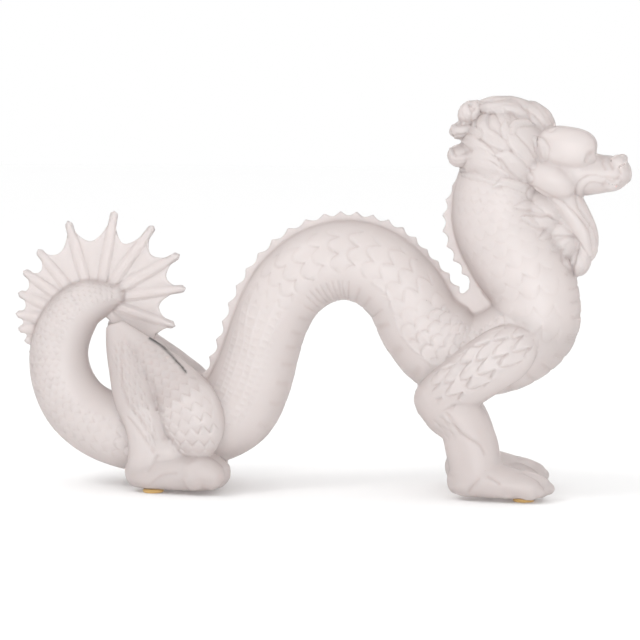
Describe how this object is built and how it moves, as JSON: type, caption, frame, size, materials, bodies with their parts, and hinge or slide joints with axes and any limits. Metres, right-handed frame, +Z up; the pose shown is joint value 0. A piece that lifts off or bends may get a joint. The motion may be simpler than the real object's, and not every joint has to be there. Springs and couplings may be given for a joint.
{
  "type": "dragon figurine",
  "caption": "Frosted crystal dragon standing on clawed feet, with an arched scaly body, saw-toothed crest, curled tail ending in a ribbed fan, and a maned, bearded head.",
  "frame": {"origin": "on the table, under the middle of the figure's length and width", "axes": "+X the way the head looks, +Y the dragon's left, +Z up; the middle plane of the figure is y = 0"},
  "size_m": [0.2997, 0.0668, 0.1921],
  "materials": {
    "crystal": "frosted pinkish white lead crystal with softly polished high spots",
    "pad": "amber, slightly see-through soft plastic"
  },
  "bodies": {
    "root": {"dragon": "crystal", "foot_pad_front_left": "pad", "foot_pad_front_right": "pad", "foot_pad_rear_left": "pad", "foot_pad_rear_right": "pad"}
  },
  "joints": []
}
